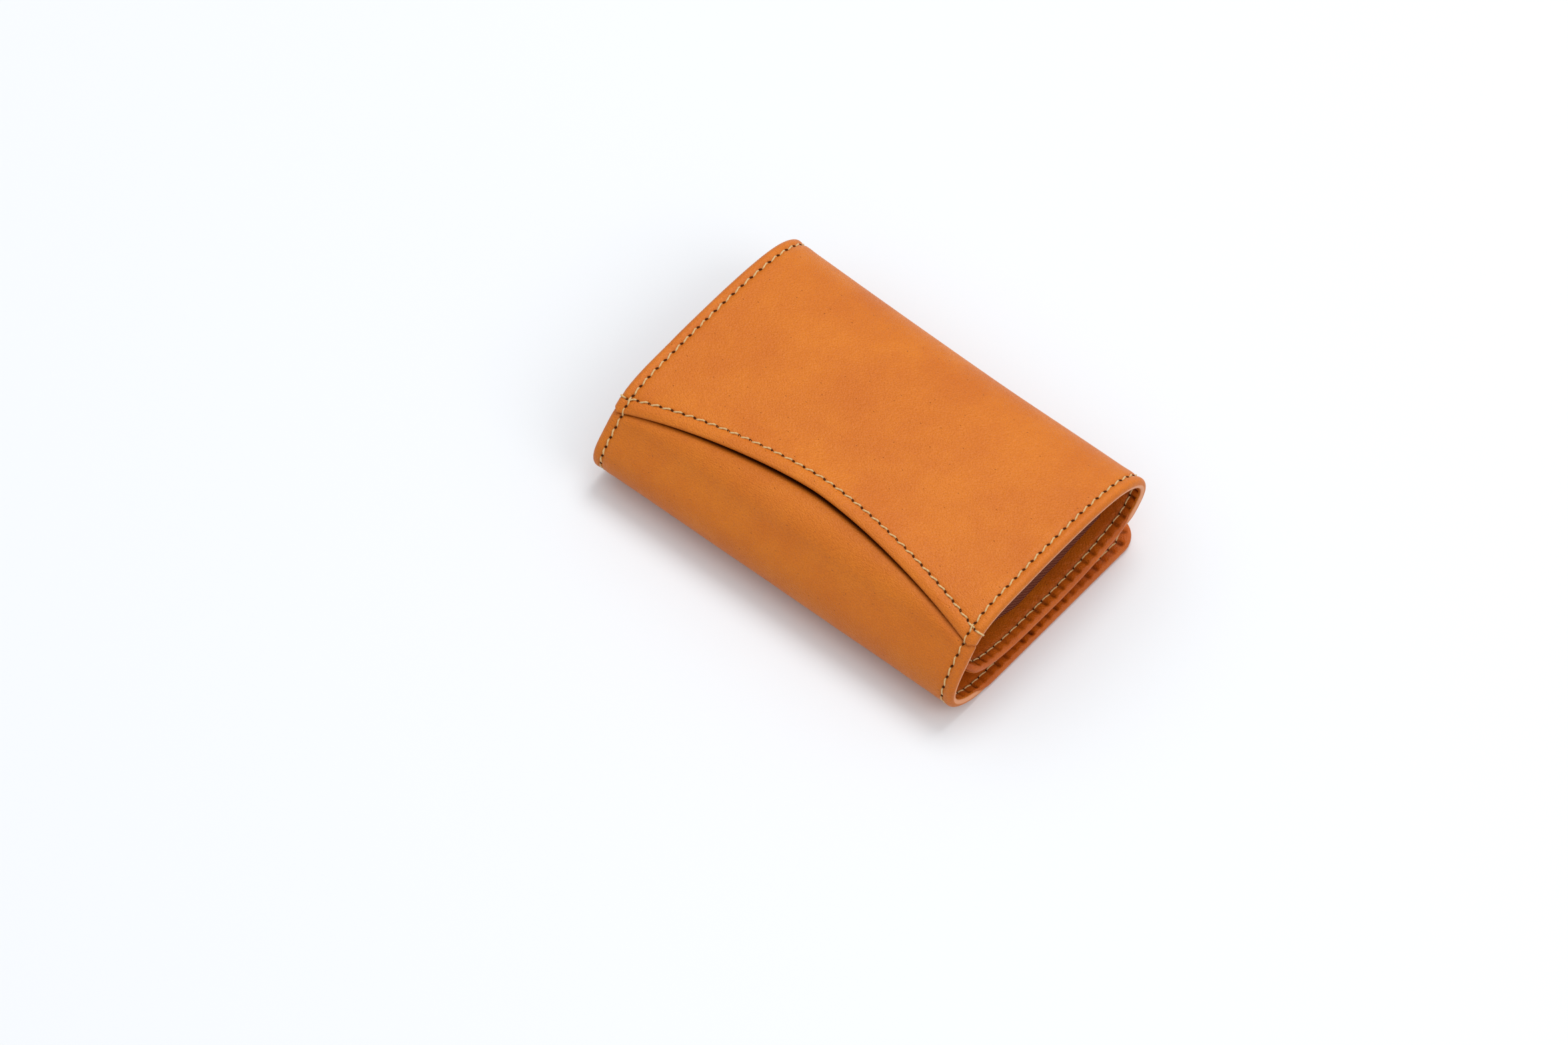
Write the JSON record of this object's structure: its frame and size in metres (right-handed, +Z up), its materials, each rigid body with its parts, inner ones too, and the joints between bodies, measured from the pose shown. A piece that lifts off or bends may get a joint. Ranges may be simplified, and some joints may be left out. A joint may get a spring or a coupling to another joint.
{
  "type": "bifold wallet",
  "caption": "Small leather wallet that rolls shut in leaves, with a curved outside slip pocket, a bill compartment, card slots and contrast stitching.",
  "frame": {"origin": "centre of the closed wallet's footprint, on the surface it lies on", "axes": "+X along the folds towards the bill compartment's mouth, +Y from the front spine towards the far fold, +Z up from the bottom leaf"},
  "size_m": [0.097, 0.0652, 0.0261],
  "materials": {
    "outer_leather": "satin tan leather, fine grain",
    "lining_leather": "soft matt reddish-brown lining leather",
    "pocket_leather": "thin tan pocket leather",
    "nylon": "fine plain-woven dark red-brown nylon",
    "thread": "cream waxed sewing thread"
  },
  "bodies": {
    "bottom_leaf": {"bottom_leaf_outer": "outer_leather", "bottom_leaf_lining": "lining_leather", "bottom_leaf_pocket": "pocket_leather", "bottom_leaf_seam": "thread"},
    "front_spine": {"front_spine_outer": "outer_leather", "front_spine_lining": "lining_leather", "front_seam_left": "thread", "front_seam_right": "thread"},
    "top_leaf": {"top_pocket_panel": "outer_leather", "top_leaf_base": "outer_leather", "top_leaf_lining": "lining_leather", "top_seam_left": "thread", "top_seam_right": "thread", "pocket_mouth_seam": "thread", "bill_divider": "pocket_leather", "card_pocket_lining": "nylon", "card_slot_upper": "pocket_leather", "card_slot_middle": "pocket_leather", "card_slot_lower": "pocket_leather"},
    "far_spine": {"far_spine_outer": "outer_leather", "far_spine_lining": "lining_leather", "far_seam_left": "thread", "far_seam_right": "thread"},
    "inner_leaf": {"inner_leaf_outer": "outer_leather", "inner_leaf_lining": "lining_leather", "inner_leaf_pocket": "pocket_leather", "inner_leaf_seam": "thread"}
  },
  "joints": [
    {"name": "front_fold_lower", "type": "hinge", "parent": "bottom_leaf", "child": "front_spine", "pos_m": [0, -0.0288, 0.0032], "axis": [1, 0, 0], "range_deg": [0, 90]},
    {"name": "front_fold_upper", "type": "hinge", "parent": "front_spine", "child": "top_leaf", "pos_m": [0, -0.026, 0.0194], "axis": [1, 0, 0], "range_deg": [0, 90]},
    {"name": "far_fold_upper", "type": "hinge", "parent": "top_leaf", "child": "far_spine", "pos_m": [0, 0.0303, 0.0202], "axis": [1, 0, 0], "range_deg": [0, 30]},
    {"name": "far_fold_lower", "type": "hinge", "parent": "far_spine", "child": "inner_leaf", "pos_m": [0, 0.0289, 0.011], "axis": [1, 0, 0], "range_deg": [0, 30]}
  ],
  "couplings": [
    {"joint": "front_fold_upper", "follows": "front_fold_lower", "ratio": 1},
    {"joint": "far_fold_upper", "follows": "front_fold_lower", "ratio": 0.3333},
    {"joint": "far_fold_lower", "follows": "front_fold_lower", "ratio": 0.3333}
  ]
}
